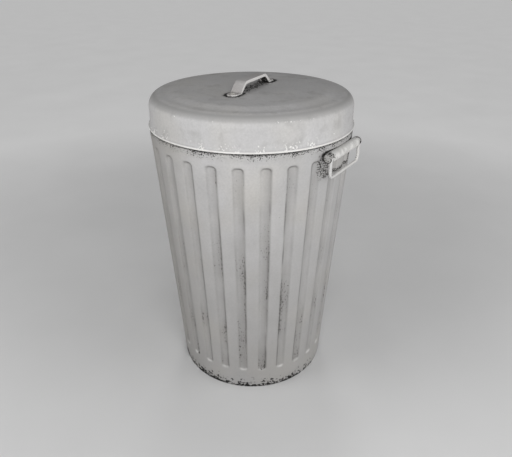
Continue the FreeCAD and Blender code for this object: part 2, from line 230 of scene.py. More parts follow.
# Ramps for the Map Range nodes, by socket number. A mark starts at 1 and is full at 2: metres on the
# bin, or the 0 to 1 of a pattern or an attribute. Its share goes from 3 to 4, which are 0 and 1 if left out
CLOUDS = {1: 0.3, 2: 0.7}
WARM_PATCHES = {1: 0.45, 2: 0.7, 4: 0.45}
MOTTLE = {1: 0.3, 2: 0.7, 3: 0.94, 4: 1.05}


def paint_coat(tree, place, dark, light, warm):
    """Colour of old grey paint: broad pale clouds, a warmer tint in patches and a fine mottle."""
    clouds = add_node(tree, "ShaderNodeTexNoise", {"Vector": place, "Scale": 1 / CLOUD_SIZE, "Detail": 3.0})
    warmth = add_node(
        tree, "ShaderNodeTexNoise", {"Vector": place, "Scale": 1 / WARM_PATCH_SIZE, "Detail": 1.0},
    )
    mottle = add_node(tree, "ShaderNodeTexNoise", {"Vector": place, "Scale": 1 / MOTTLE_SIZE, "Detail": 4.0})
    cloudy = add_node(tree, "ShaderNodeMapRange", {0: clouds, **CLOUDS})
    warmed = add_node(tree, "ShaderNodeMapRange", {0: warmth, **WARM_PATCHES})
    flecked = add_node(tree, "ShaderNodeMapRange", {0: mottle, **MOTTLE})
    greys = {0: cloudy, 6: linear(dark), 7: linear(light)}
    grey = add_node(tree, "ShaderNodeMix", greys, output=2, data_type="RGBA")
    tints = {0: warmed, 6: grey, 7: linear(warm)}
    tinted = add_node(tree, "ShaderNodeMix", tints, output=2, data_type="RGBA")
    return add_node(tree, "ShaderNodeVectorMath", {0: tinted, 3: flecked}, operation="SCALE")


def worn_spots(tree, place, size, spread):
    """Mask of ragged spots of a real size: few where the spread is near 0, all over where it nears 0.5."""
    grain = add_node(
        tree, "ShaderNodeTexNoise", {"Vector": place, "Scale": 1 / size, "Detail": 4.0, "Roughness": 0.6},
    )
    level = add_node(tree, "ShaderNodeMath", {0: grain, 1: spread}, operation="ADD")
    limits = {0: level, 1: SPOT_LEVEL - SPOT_EDGE, 2: SPOT_LEVEL + SPOT_EDGE}
    return add_node(tree, "ShaderNodeMapRange", limits, interpolation_type="SMOOTHSTEP")


def finish_paint(tree, shader, place, colour, layers, bare, roughness):
    """Lays masked colours over the coat in their order, and gives it a satin sheen with orange peel.
    Bare spots are duller and lie a coat of paint deeper."""
    for mask, tint in layers:
        over = {0: mask, 6: colour, 7: linear(tint)}
        colour = add_node(tree, "ShaderNodeMix", over, output=2, data_type="RGBA")
    peel = add_node(
        tree, "ShaderNodeTexNoise", {"Vector": place, "Scale": 1 / ORANGE_PEEL_SIZE, "Detail": 2.0},
    )
    lower = {0: bare, 1: -CHIP_DEPTH / ORANGE_PEEL_DEPTH, 2: peel}
    relief = add_node(tree, "ShaderNodeMath", lower, operation="MULTIPLY_ADD")
    bump = add_node(tree, "ShaderNodeBump", {"Height": relief, "Distance": ORANGE_PEEL_DEPTH})
    rough = add_node(tree, "ShaderNodeMapRange", {0: bare, 3: roughness, 4: BARE_ROUGHNESS})
    tree.links.new(colour, shader.inputs["Base Color"])
    tree.links.new(rough, shader.inputs["Roughness"])
    tree.links.new(bump, shader.inputs["Normal"])


# Ramps of the wall's marks
PAST_LIGHT_AXIS = {1: 0.030, 2: 0.062}
HOOD_SPECKS = {1: 0.021, 2: 0.008, 4: 0.25}
HOOD_ENDS = {1: 0.036, 2: 0.050, 3: 0.1}
FAR_BELOW = {1: -0.066, 2: -0.046}
HOOD_OUTLINE = {1: 0.0122, 2: 0.0110, 4: 0.4}
KNOCKED = {1: 0.007, 2: 0.002, 4: 0.29}
ALONG_BAR = {1: 0.060, 2: 0.050}
BESIDE_HANDLES = {1: 0.19, 2: 0.20}
WEAR_PATCHES = {1: 0.40, 2: 0.62}
STREAKS = {1: 0.35, 2: 0.65}
DARKER_LOW_RAMP = {3: 0.6, 4: 0.0}
LEFT_STAIN = {1: 0.05, 2: -0.18, 4: 0.85}
ROUND_BACK = {1: -0.08, 2: 0.08, 3: 1.0, 4: 0.35}
RIGHT_STAIN = {1: 0.16, 2: 0.215, 4: 0.4}
FLOOR_SHADE = {1: 0.25, 2: 1.0, 3: 0.05, 4: 0.50}
SHADED_SIDES = {1: 0.25, 2: 0.85, 3: 0.25, 4: 1.5}
UPPER_ENDS = {1: 0.582, 2: 0.600, 4: 1.5}
END_SHADE_SIDES = {2: 0.6, 3: 0.25}
LOWER_LIP_HIGHLIGHTS = {1: 0.066, 2: 0.060, 4: 1.4}
LOW_DOWN = {1: 0.52, 2: 0.12, 3: 0.23, 4: 0.46}
CAUGHT_DIRT = {1: 0.1, 2: 0.8, 3: 0.65, 4: 1.15}
UNDER_LID = {1: 0.611, 2: 0.632, 4: 0.31}
ON_NECK = {1: 0.632, 2: 0.644, 3: 1.0, 4: 0.35}
BASE_CHIPS = {1: 0.060, 2: 0.0}
IN_FRONT = {1: 0.02, 2: -0.15, 3: 0.6}

# Share of the wear patches, and what is there between them
PATCHY_UNDER_LID = {1: 0.5, 2: 0.68}
PATCHY_BASE = {1: 0.20, 2: 0.27}

LOW_DARKENING_POWER = 2.0
CHIP_POWER = 1.7
FLOOR_SHARE = 0.45
SMUDGE_SHARE = 1.6
DIRT_SHARE = 0.8
HANGING_SHARE = -0.22
WELD_HALF_LENGTH = 0.057


def shaded_flute_sides(tree, place, across):
    """Painted shade on the flutes' sides turned away from the light in front: 1 at the side away from it, 0
    at the other.
    """
    turn = {"Vector": place, "Angle": -LIGHT_FROM_AZIMUTH}
    from_light = add_node(tree, "ShaderNodeVectorRotate", turn, rotation_type="Z_AXIS")
    off_light = add_node(tree, "ShaderNodeSeparateXYZ", {0: from_light}, output="X")
    beyond = add_node(tree, "ShaderNodeMapRange", {0: off_light, **PAST_LIGHT_AXIS})
    mirrored = add_node(tree, "ShaderNodeMath", {0: 1.0, 1: across}, operation="SUBTRACT")
    return add_node(tree, "ShaderNodeMix", {0: beyond, 2: across, 3: mirrored})


def grime_at_handles(tree, axes):
    """Spread of the grime round each hood: specks at its ends, further below than above, a black line along
    it, partly painted shade in its crease with the wall, and marks where the bail's lower bar knocks against
    the wall."""
    height = axes["Z"]
    off_side = add_node(tree, "ShaderNodeMath", {0: axes["Y"]}, operation="ABSOLUTE")
    above = add_node(tree, "ShaderNodeMath", {0: height, 1: HOOD_HEIGHT}, operation="SUBTRACT")
    under = add_node(tree, "ShaderNodeMath", {0: above, 1: HANGING_SHARE}, operation="MULTIPLY")
    off_axis = add_node(tree, "ShaderNodeMath", {0: above, 1: under}, operation="MAXIMUM")

    distances = []
    for half_length, rise in ((HOOD_HALF_LENGTH - HOOD_RADIUS, off_axis), (WELD_HALF_LENGTH, above)):
        past = add_node(tree, "ShaderNodeMath", {0: off_side, 1: half_length}, operation="SUBTRACT")
        past = add_node(tree, "ShaderNodeMath", {0: past, 1: 0.0}, operation="MAXIMUM")
        offset = add_node(tree, "ShaderNodeCombineXYZ", {0: past, 1: rise})
        length = add_node(tree, "ShaderNodeVectorMath", {0: offset}, output="Value", operation="LENGTH")
        distances.append(length)
    spread = add_node(tree, "ShaderNodeMapRange", {0: distances[0], **HOOD_SPECKS})
    outline = add_node(tree, "ShaderNodeMapRange", {0: distances[1], **HOOD_OUTLINE})
    at_end = add_node(tree, "ShaderNodeMapRange", {0: off_side, **HOOD_ENDS})
    far_below = add_node(tree, "ShaderNodeMapRange", {0: above, **FAR_BELOW})
    for share in (at_end, far_below):
        spread = add_node(tree, "ShaderNodeMath", {0: spread, 1: share}, operation="MULTIPLY")

    off_bar = add_node(tree, "ShaderNodeMath", {0: height, 1: KNOCK_HEIGHT}, operation="SUBTRACT")
    off_bar = add_node(tree, "ShaderNodeMath", {0: off_bar}, operation="ABSOLUTE")
    knocked = add_node(tree, "ShaderNodeMapRange", {0: off_bar, **KNOCKED})
    along_bar = add_node(tree, "ShaderNodeMapRange", {0: off_side, **ALONG_BAR})
    outwards = add_node(tree, "ShaderNodeMath", {0: axes["X"]}, operation="ABSOLUTE")
    beside = add_node(tree, "ShaderNodeMapRange", {0: outwards, **BESIDE_HANDLES})
    for share in (along_bar, beside):
        knocked = add_node(tree, "ShaderNodeMath", {0: knocked, 1: share}, operation="MULTIPLY")
    for mark in (outline, knocked):
        spread = add_node(tree, "ShaderNodeMath", {0: spread, 1: mark}, operation="MAXIMUM")
    return spread


def wall_paint():
    """Old grey paint that shows the flutes: dark lines along their sides, painted shade with streaks of
    grime, painted shadow in their upper ends, a painted highlight on their lower lips, specks of grime in
    them, chips to black along the base, grime under the lid's edge and round the handles."""
    material, tree, shader, place = start_material("worn_grey_paint_fluted_steel")
    axes = add_node(tree, "ShaderNodeSeparateXYZ", {0: place}).node.outputs
    height = axes["Z"]
    pressed = add_node(tree, "ShaderNodeAttribute", output="Fac", attribute_name="pressed")
    across = add_node(tree, "ShaderNodeAttribute", output="Fac", attribute_name="across")
    shaded_side = shaded_flute_sides(tree, place, across)
    coat = paint_coat(tree, place, "#bebdbd", "#cbcaca", "#c9c5bd")

    drawn_out = add_node(tree, "ShaderNodeMapping", {0: place, 3: (1.0, 1.0, STAIN_STRETCH)})
    hanging = add_node(tree, "ShaderNodeMapping", {0: place, 3: (1.0, 1.0, WEAR_STRETCH)})
    patches = add_node(
        tree, "ShaderNodeTexNoise", {"Vector": hanging, "Scale": 1 / WEAR_PATCH_SIZE, "Detail": 3.0},
    )
    patchy = add_node(tree, "ShaderNodeMapRange", {0: patches, **WEAR_PATCHES})
    streaks = add_node(
        tree, "ShaderNodeTexNoise", {"Vector": drawn_out, "Scale": 1 / STAIN_WIDTH, "Detail": 3.0},
    )
    streaky = add_node(tree, "ShaderNodeMapRange", {0: streaks, **STREAKS})

    # The paint turns darker towards the floor
    risen = add_node(tree, "ShaderNodeMath", {0: height, 1: SHOULDER_HEIGHT}, operation="DIVIDE")
    risen = add_node(tree, "ShaderNodeMath", {0: risen, 1: LOW_DARKENING_POWER}, operation="POWER")
    low_darkening = add_node(tree, "ShaderNodeMapRange", {0: risen, **DARKER_LOW_RAMP})

    # The front left, seen from the front, is stained a warmer grey, the right side a little at the top
    left = add_node(tree, "ShaderNodeMapRange", {0: axes["X"], **LEFT_STAIN})
    round_back = add_node(tree, "ShaderNodeMapRange", {0: axes["Y"], **ROUND_BACK})
    left = add_node(tree, "ShaderNodeMath", {0: left, 1: round_back}, operation="MULTIPLY")
    right = add_node(tree, "ShaderNodeMapRange", {0: axes["X"], **RIGHT_STAIN})
    right = add_node(tree, "ShaderNodeMath", {0: right, 1: risen}, operation="MULTIPLY")

    # Painted shade on the flutes' floors, lighter towards the side that faces the light
    floor_shade_share = add_node(tree, "ShaderNodeMapRange", {0: shaded_side, **FLOOR_SHADE})
    floor_shade = add_node(tree, "ShaderNodeMath", {0: pressed, 1: floor_shade_share}, operation="MULTIPLY")

    # Dark lines along the flutes' sides turned from the light, painted shade drawn out with streaks of grime,
    # and painted shadow in their upper ends under the overhang
    side = add_node(tree, "ShaderNodeMath", {0: pressed, 1: 0.5}, operation="PINGPONG")
    line = side
    shaded_side_share = add_node(tree, "ShaderNodeMapRange", {0: shaded_side, **SHADED_SIDES})
    for share in (streaky, shaded_side_share):
        line = add_node(tree, "ShaderNodeMath", {0: line, 1: share}, operation="MULTIPLY")
    end_shade = side
    upper_end = add_node(tree, "ShaderNodeMapRange", {0: height, **UPPER_ENDS})
    end_shade_side = add_node(tree, "ShaderNodeMapRange", {0: shaded_side, **END_SHADE_SIDES})
    for share in (upper_end, end_shade_side):
        end_shade = add_node(tree, "ShaderNodeMath", {0: end_shade, 1: share}, operation="MULTIPLY")
    line = add_node(tree, "ShaderNodeMath", {0: line, 1: end_shade}, operation="MAXIMUM")

    # The flutes' lower lips, which face up, get a painted highlight
    lip = add_node(tree, "ShaderNodeMapRange", {0: height, **LOWER_LIP_HIGHLIGHTS})
    lip = add_node(tree, "ShaderNodeMath", {0: lip, 1: side}, operation="MULTIPLY")

    # Smudges and fine specks in the flutes, most of them low down and along the sides
    in_floors = {0: pressed, 1: FLOOR_SHARE, 2: side}
    in_flutes = add_node(tree, "ShaderNodeMath", in_floors, operation="MULTIPLY_ADD")
    low_down = add_node(tree, "ShaderNodeMapRange", {0: height, **LOW_DOWN})
    caught = add_node(tree, "ShaderNodeMapRange", {0: shaded_side, **CAUGHT_DIRT})
    for share in (low_down, caught, patchy):
        in_flutes = add_node(tree, "ShaderNodeMath", {0: in_flutes, 1: share}, operation="MULTIPLY")
    smudge = add_node(tree, "ShaderNodeMath", {0: in_flutes, 1: SMUDGE_SHARE}, operation="MULTIPLY")
    flute_specks = worn_spots(tree, hanging, FINE_SPECK_SIZE, in_flutes)

    # Grime below the lid's edge, less on the neck that the lid covers, and at the handles
    near_lid = add_node(tree, "ShaderNodeMapRange", {0: height, **UNDER_LID})
    patchy_lid = add_node(tree, "ShaderNodeMath", {0: patchy, **PATCHY_UNDER_LID}, operation="MULTIPLY_ADD")
    on_neck = add_node(tree, "ShaderNodeMapRange", {0: height, **ON_NECK})
    for share in (patchy_lid, on_neck):
        near_lid = add_node(tree, "ShaderNodeMath", {0: near_lid, 1: share}, operation="MULTIPLY")
    at_handles = grime_at_handles(tree, axes)
    spread = add_node(tree, "ShaderNodeMath", {0: near_lid, 1: at_handles}, operation="MAXIMUM")
    dirt = add_node(tree, "ShaderNodeMath", {0: spread, 1: DIRT_SHARE}, operation="MULTIPLY")
    grime = worn_spots(tree, place, FINE_SPECK_SIZE, spread)

    # Chips down to black along the base, most of them in front, where the bin is dragged and kicked
    low = add_node(tree, "ShaderNodeMapRange", {0: height, **BASE_CHIPS})
    low = add_node(tree, "ShaderNodeMath", {0: low, 1: CHIP_POWER}, operation="POWER")
    in_front = add_node(tree, "ShaderNodeMapRange", {0: axes["Y"], **IN_FRONT})
    patchy_base = add_node(tree, "ShaderNodeMath", {0: patchy, **PATCHY_BASE}, operation="MULTIPLY_ADD")
    for share in (in_front, patchy_base):
        low = add_node(tree, "ShaderNodeMath", {0: low, 1: share}, operation="MULTIPLY")
    chips = worn_spots(tree, place, CHIP_SIZE, low)

    bare = add_node(tree, "ShaderNodeMath", {0: chips, 1: grime}, operation="MAXIMUM")
    layers = [
        (low_darkening, "#9c9a98"), (left, "#8f8c87"), (right, "#a09f9e"), (floor_shade, "#8d8b89"), (line, "#4a4744"),
        (lip, "#e6e5e3"), (smudge, "#75726f"), (flute_specks, "#45423f"), (dirt, "#7d7a76"),
        (grime, "#2b2927"), (chips, "#1a1918"),
    ]
    finish_paint(tree, shader, place, coat, layers, bare, PAINT_ROUGHNESS)
    return material


# Ramps of the lid's marks
LID_STREAKS = {1: 0.5, 2: 0.72, 4: 0.1}
LID_SMUDGES = {1: 0.52, 2: 0.75, 4: 0.5}
CORNER_BAND_EDGE = 0.6895
CORNER_BAND = {1: CORNER_BAND_EDGE, 2: 0.6945, 4: 0.6}
CORNER_BAND_WAVE = 0.003
THICKER_BAND = {1: 0.694, 2: 0.699, 3: 1.0, 4: 1.6}
THINNER_BAND = {1: 0.7005, 2: 0.7033, 3: 1.0, 4: 0.1}
SKIRT_SCUFFS = {1: 0.665, 2: 0.640, 3: 0.02, 4: 0.17}
EDGE_SCUFFS = {1: 0.004, 2: 0.0, 4: 0.13}
SCUFF_CLUSTERS = {1: 0.42, 2: 0.6, 4: 1.3}
BEAD_PALE = {1: 0.6380, 2: 0.6362}
BEAD_RUBBED = {1: 0.36, 2: 0.52, 3: 0.75}
FOOT_SHADOW_AND_GRIME = {1: 0.026, 2: 0.014, 4: 0.48}
SPAN_SHADOW_AND_GRIME = {1: 0.030, 2: 0.008, 4: 0.27}
SPAN_ENDS = {1: STRAP_END, 2: STRAP_FOOT}
FOOT_SHADE = 1.6


def shade_and_grime_at_strap(tree, turned):
    """Spread of the painted shadow and grime round the strap's two feet and, thinner, under its span."""
    strap_axes = add_node(tree, "ShaderNodeSeparateXYZ", {0: turned}).node.outputs
    along = add_node(tree, "ShaderNodeMath", {0: strap_axes["X"]}, operation="ABSOLUTE")
    across = add_node(tree, "ShaderNodeMath", {0: strap_axes["Y"]}, operation="ABSOLUTE")
    foot_middle = (STRAP_FOOT + STRAP_END - STRAP_WIDTH / 2) / 2
    half_foot = (STRAP_END - STRAP_WIDTH / 2 - STRAP_FOOT) / 2
    off_foot = add_node(tree, "ShaderNodeMath", {0: along, 1: foot_middle}, operation="SUBTRACT")
    off_foot = add_node(tree, "ShaderNodeMath", {0: off_foot}, operation="ABSOLUTE")
    off_foot = add_node(tree, "ShaderNodeMath", {0: off_foot, 1: half_foot}, operation="SUBTRACT")
    off_foot = add_node(tree, "ShaderNodeMath", {0: off_foot, 1: 0.0}, operation="MAXIMUM")
    offset = add_node(tree, "ShaderNodeCombineXYZ", {0: off_foot, 1: across})
    distance = add_node(tree, "ShaderNodeVectorMath", {0: offset}, output="Value", operation="LENGTH")
    at_feet = add_node(tree, "ShaderNodeMapRange", {0: distance, **FOOT_SHADOW_AND_GRIME})
    under_span = add_node(tree, "ShaderNodeMapRange", {0: across, **SPAN_SHADOW_AND_GRIME})
    span_end = add_node(tree, "ShaderNodeMapRange", {0: along, **SPAN_ENDS})
    under_span = add_node(tree, "ShaderNodeMath", {0: under_span, 1: span_end}, operation="MULTIPLY")
    return add_node(tree, "ShaderNodeMath", {0: at_feet, 1: under_span}, operation="MAXIMUM")


def lid_paint():
    """The same paint on the lid: a darker band round the corner, smudges and pale scuffs on the skirt, the
    beaded edge nearly white, partly rubbed paint and partly a painted highlight, and grime with painted
    shadow round the feet of the strap handle and under it."""
    material, tree, shader, place = start_material("worn_grey_paint_lid")
    height = add_node(tree, "ShaderNodeSeparateXYZ", {0: place}, output="Z")
    coat = paint_coat(tree, place, "#c1c0c0", "#cbcaca", "#c9c6c0")

    # Faint rain streaks and grey smudges
    drawn_out = add_node(tree, "ShaderNodeMapping", {0: place, 3: (1.0, 1.0, STAIN_STRETCH)})
    streaks = add_node(
        tree, "ShaderNodeTexNoise", {"Vector": drawn_out, "Scale": 1 / STAIN_WIDTH, "Detail": 3.0},
    )
    smudges = add_node(tree, "ShaderNodeTexNoise", {"Vector": place, "Scale": 1 / SMUDGE_SIZE, "Detail": 3.0})
    streaked = add_node(tree, "ShaderNodeMapRange", {0: streaks, **LID_STREAKS})
    smudged = add_node(tree, "ShaderNodeMapRange", {0: smudges, **LID_SMUDGES})
    stained = add_node(tree, "ShaderNodeMath", {0: streaked, 1: smudged}, operation="MAXIMUM")

    # A darker band lies round the corner, down to a clear edge, and thins out on the top
    waves = {0: smudges, 1: CORNER_BAND_WAVE, 2: height}
    wavy = add_node(tree, "ShaderNodeMath", waves, operation="MULTIPLY_ADD")
    band = add_node(tree, "ShaderNodeMapRange", {0: wavy, **CORNER_BAND})
    thicker = add_node(tree, "ShaderNodeMapRange", {0: height, **THICKER_BAND})
    thinner = add_node(tree, "ShaderNodeMapRange", {0: height, **THINNER_BAND})
    for share in (thicker, thinner):
        band = add_node(tree, "ShaderNodeMath", {0: band, 1: share}, operation="MULTIPLY")

    # Pale scuffs along that edge and thickest just above the bead, and the bead itself pale, partly rubbed
    # paint and partly a painted highlight along the curl
    scuffed = add_node(tree, "ShaderNodeMapRange", {0: height, **SKIRT_SCUFFS})
    off_edge = add_node(tree, "ShaderNodeMath", {0: height, 1: CORNER_BAND_EDGE}, operation="SUBTRACT")
    off_edge = add_node(tree, "ShaderNodeMath", {0: off_edge}, operation="ABSOLUTE")
    at_edge = add_node(tree, "ShaderNodeMapRange", {0: off_edge, **EDGE_SCUFFS})
    scuffed = add_node(tree, "ShaderNodeMath", {0: scuffed, 1: at_edge}, operation="MAXIMUM")
    clustered = add_node(tree, "ShaderNodeMapRange", {0: smudges, **SCUFF_CLUSTERS})
    scuffed = add_node(tree, "ShaderNodeMath", {0: scuffed, 1: clustered}, operation="MULTIPLY")
    scuffs = worn_spots(tree, place, SPECK_SIZE, scuffed)
    bead = add_node(tree, "ShaderNodeMapRange", {0: height, **BEAD_PALE})
    rubbed = add_node(tree, "ShaderNodeMapRange", {0: smudges, **BEAD_RUBBED})
    bead = add_node(tree, "ShaderNodeMath", {0: bead, 1: rubbed}, operation="MULTIPLY")
    pale = add_node(tree, "ShaderNodeMath", {0: scuffs, 1: bead}, operation="MAXIMUM")

    # Painted shadow round the strap's feet and under its span, with grime specks drawn out along it
    turn = {"Vector": place, "Angle": -STRAP_TURN}
    turned = add_node(tree, "ShaderNodeVectorRotate", turn, rotation_type="Z_AXIS")
    spread = shade_and_grime_at_strap(tree, turned)
    shade = add_node(tree, "ShaderNodeMath", {0: spread, 1: FOOT_SHADE}, operation="MULTIPLY")
    drawn_along = add_node(tree, "ShaderNodeMapping", {0: turned, 3: (GRIME_STRETCH, 1.0, 1.0)})
    grime = worn_spots(tree, drawn_along, FINE_SPECK_SIZE, spread)

    layers = [
        (stained, "#999795"), (band, "#a3a2a1"), (pale, "#f0efec"), (shade, "#6a6866"), (grime, "#211f1e"),
    ]
    finish_paint(tree, shader, place, coat, layers, grime, PAINT_ROUGHNESS)
    return material


# Ramps of the strap's marks: height above the lid's top, and how far the face turns sideways or down
STRAP_FOOT_GRIME = {1: LID_PANEL_HEIGHT + 0.012, 2: LID_PANEL_HEIGHT, 4: 0.20}
PALE_SIDE_FACES = {1: 0.1, 2: 0.45}
UNDERSIDE_SHADE_AND_GRIME = {1: -0.2, 2: -0.8, 4: 0.34}


def strap_paint():
    """Dull paint on top, its side faces pale, painted light with some hand wear along the edges, dark specks
    underneath, painted shade with grime, and grime at the feet.
    """
    material, tree, shader, place = start_material("hand_worn_grey_paint_strap")
    height = add_node(tree, "ShaderNodeSeparateXYZ", {0: place}, output="Z")
    coat = paint_coat(tree, place, "#b3b0af", "#c0bebd", "#bdb8b4")
    at_feet = add_node(tree, "ShaderNodeMapRange", {0: height, **STRAP_FOOT_GRIME})
    # Faces turned sideways are painted pale, painted light with some hand wear; faces turned down get dark
    # specks, painted shade with grime
    normal = add_node(tree, "ShaderNodeNewGeometry", output="Normal")
    turn = {"Vector": normal, "Angle": -STRAP_TURN}
    turned = add_node(tree, "ShaderNodeVectorRotate", turn, rotation_type="Z_AXIS")
    facing = add_node(tree, "ShaderNodeSeparateXYZ", {0: turned}).node.outputs
    sideways = add_node(tree, "ShaderNodeMath", {0: facing["Y"]}, operation="ABSOLUTE")
    rubbed = add_node(tree, "ShaderNodeMapRange", {0: sideways, **PALE_SIDE_FACES})
    beneath = add_node(tree, "ShaderNodeMapRange", {0: facing["Z"], **UNDERSIDE_SHADE_AND_GRIME})
    spread = add_node(tree, "ShaderNodeMath", {0: at_feet, 1: beneath}, operation="MAXIMUM")
    grime = worn_spots(tree, place, FINE_SPECK_SIZE, spread)
    layers = [(rubbed, "#e8e6e4"), (grime, "#2b2825")]
    finish_paint(tree, shader, place, coat, layers, grime, HAND_WORN_ROUGHNESS)
    return material


# Ramps of the hood's marks
HOOD_FRONT = {1: 0.233, 2: 0.239}
HOOD_PATCHES = {1: 0.42, 2: 0.60, 4: 0.65}
SHADED_DIRTY_ENDS = {1: 0.060, 2: 0.070, 4: 0.6}
ROUND_SLOTS = {1: 0.016, 2: 0.004, 4: 0.26}
IN_SLOTS = {1: 0.0080, 2: 0.0055, 4: 0.4}
SLOT_HEIGHT = {1: HOOD_HEIGHT + 0.003, 2: HOOD_HEIGHT - 0.001}
AT_WALL = {1: wall_radius(HOOD_HEIGHT) + 0.002, 2: wall_radius(HOOD_HEIGHT), 4: 0.4}
HOOD_UNDERSIDE = {1: HOOD_HEIGHT + 0.002, 2: HOOD_HEIGHT - HOOD_RADIUS, 4: 0.14}


def hood_paint():
    """Paint on the handle's hood, pale on its round front, partly rubbed paint and partly painted highlight,
    and darker at its ends, painted shade with dirt, with black grime in and round the slots."""
    material, tree, shader, place = start_material("worn_grey_paint_hood")
    axes = add_node(tree, "ShaderNodeSeparateXYZ", {0: place}).node.outputs
    coat = paint_coat(tree, place, "#c6c5c3", "#d4d3d1", "#cecbc5")

    # The front is pale in patches, partly rubbed paint and partly painted highlight, and the ends are darker,
    # painted shade with dirt
    outwards = add_node(tree, "ShaderNodeMath", {0: axes["X"]}, operation="ABSOLUTE")
    front = add_node(tree, "ShaderNodeMapRange", {0: outwards, **HOOD_FRONT})
    patches = add_node(
        tree, "ShaderNodeTexNoise", {"Vector": place, "Scale": 1 / RUBBED_PATCH_SIZE, "Detail": 3.0},
    )
    patchy = add_node(tree, "ShaderNodeMapRange", {0: patches, **HOOD_PATCHES})
    rubbed = add_node(tree, "ShaderNodeMath", {0: front, 1: patchy}, operation="MULTIPLY")
    side = add_node(tree, "ShaderNodeMath", {0: axes["Y"]}, operation="ABSOLUTE")
    shaded_dirty_end = add_node(tree, "ShaderNodeMapRange", {0: side, **SHADED_DIRTY_ENDS})

    # Grime round the slots, most in their lower half, and underneath, and a black line along the wall, partly
    # painted shade in the crease
    off_slot = add_node(tree, "ShaderNodeMath", {0: side, 1: BAIL_LEG}, operation="SUBTRACT")
    off_slot = add_node(tree, "ShaderNodeMath", {0: off_slot}, operation="ABSOLUTE")
    spread = add_node(tree, "ShaderNodeMapRange", {0: off_slot, **ROUND_SLOTS})
    in_slot = add_node(tree, "ShaderNodeMapRange", {0: off_slot, **IN_SLOTS})
    slot_height = add_node(tree, "ShaderNodeMapRange", {0: axes["Z"], **SLOT_HEIGHT})
    in_slot = add_node(tree, "ShaderNodeMath", {0: in_slot, 1: slot_height}, operation="MULTIPLY")
    level = add_node(tree, "ShaderNodeCombineXYZ", {0: axes["X"], 1: axes["Y"]})
    radius = add_node(tree, "ShaderNodeVectorMath", {0: level}, output="Value", operation="LENGTH")
    at_wall = add_node(tree, "ShaderNodeMapRange", {0: radius, **AT_WALL})
    beneath = add_node(tree, "ShaderNodeMapRange", {0: axes["Z"], **HOOD_UNDERSIDE})
    for mark in (in_slot, at_wall, beneath):
        spread = add_node(tree, "ShaderNodeMath", {0: spread, 1: mark}, operation="MAXIMUM")
    grime = worn_spots(tree, place, FINE_SPECK_SIZE, spread)
    layers = [(rubbed, "#f2f1ee"), (shaded_dirty_end, "#8a8885"), (grime, "#211f1d")]
    finish_paint(tree, shader, place, coat, layers, grime, HAND_WORN_ROUGHNESS)
    return material


NICK_SPREAD = 0.09
RIVET_RUB_SPREAD = 0.2
RUST_SPREAD = 0.1


def bail_paint():
    """Paint on the wire loop, rubbed to a pale shine, with dark nicks."""
    material, tree, shader, place = start_material("rubbed_pale_paint_bail")
    coat = paint_coat(tree, place, "#d0cfce", "#e2e1df", "#d9d7d2")
    nicks = worn_spots(tree, place, SPECK_SIZE, NICK_SPREAD)
    finish_paint(tree, shader, place, coat, [(nicks, "#4a4743")], nicks, BAIL_ROUGHNESS)
    return material


def rivet_paint():
    """Rivet heads painted with the lid, the paint rubbed through to steel in spots."""
    material, tree, shader, place = start_material("rubbed_paint_steel_rivets")
    coat = paint_coat(tree, place, "#aeaca8", "#c4c2be", "#bdb9b1")
    rubbed = worn_spots(tree, place, SPECK_SIZE / 2, RIVET_RUB_SPREAD)
    tree.links.new(rubbed, shader.inputs["Metallic"])
    finish_paint(tree, shader, place, coat, [(rubbed, "#8d8b88")], rubbed, HAND_WORN_ROUGHNESS)
    return material


# Ramps of the bare metals and the floor
STAINS_LOW_DOWN = {1: 0.30, 2: 0.02, 4: 0.22}
INNER_STAINS = {1: 0.52, 2: 0.78, 4: 0.85}
ZINC_METAL = {3: 0.8, 4: 0.1}
ZINC_ROUGHNESS = {3: 0.45, 4: 0.6}
WIRE_METAL = {3: 1.0, 4: 0.0}
WIRE_ROUGHNESS = {3: 0.3, 4: 0.5}
FLOOR_ROUGHNESS = 0.9
FLOOR_GLOW = {1: 0.35, 2: 2.2, 4: 0.5}


def galvanised_steel():
    """Unpainted zinc inside: spangle flakes of several greys, dulled, with brown stains low down."""
    material, tree, shader, place = start_material("galvanised_steel_stained")
    height = add_node(tree, "ShaderNodeSeparateXYZ", {0: place}, output="Z")
    cells = {"Vector": place, "Scale": 1 / SPANGLE_SIZE}
    flakes = add_node(tree, "ShaderNodeTexVoronoi", cells, output="Color")
    shade = add_node(tree, "ShaderNodeSeparateColor", {0: flakes})
    greys = {0: shade, 6: linear("#8c9092"), 7: linear("#a9adae")}
    zinc = add_node(tree, "ShaderNodeMix", greys, output=2, data_type="RGBA")
    blots = add_node(
        tree, "ShaderNodeTexNoise", {"Vector": place, "Scale": 1 / INNER_STAIN_SIZE, "Detail": 5.0},
    )
    low = add_node(tree, "ShaderNodeMapRange", {0: height, **STAINS_LOW_DOWN})
    level = add_node(tree, "ShaderNodeMath", {0: blots, 1: low}, operation="ADD")
    stain = add_node(tree, "ShaderNodeMapRange", {0: level, **INNER_STAINS})
    stained = {0: stain, 6: zinc, 7: linear("#6a6259")}
    colour = add_node(tree, "ShaderNodeMix", stained, output=2, data_type="RGBA")
    metal = add_node(tree, "ShaderNodeMapRange", {0: stain, **ZINC_METAL})
    rough = add_node(tree, "ShaderNodeMapRange", {0: shade, **ZINC_ROUGHNESS})
    grain = add_node(
        tree, "ShaderNodeTexNoise", {"Vector": place, "Scale": 1 / ORANGE_PEEL_SIZE, "Detail": 2.0},
    )
    bump = add_node(tree, "ShaderNodeBump", {"Height": grain, "Distance": ORANGE_PEEL_DEPTH})
    tree.links.new(colour, shader.inputs["Base Color"])
    tree.links.new(metal, shader.inputs["Metallic"])
    tree.links.new(rough, shader.inputs["Roughness"])
    tree.links.new(bump, shader.inputs["Normal"])
    return material


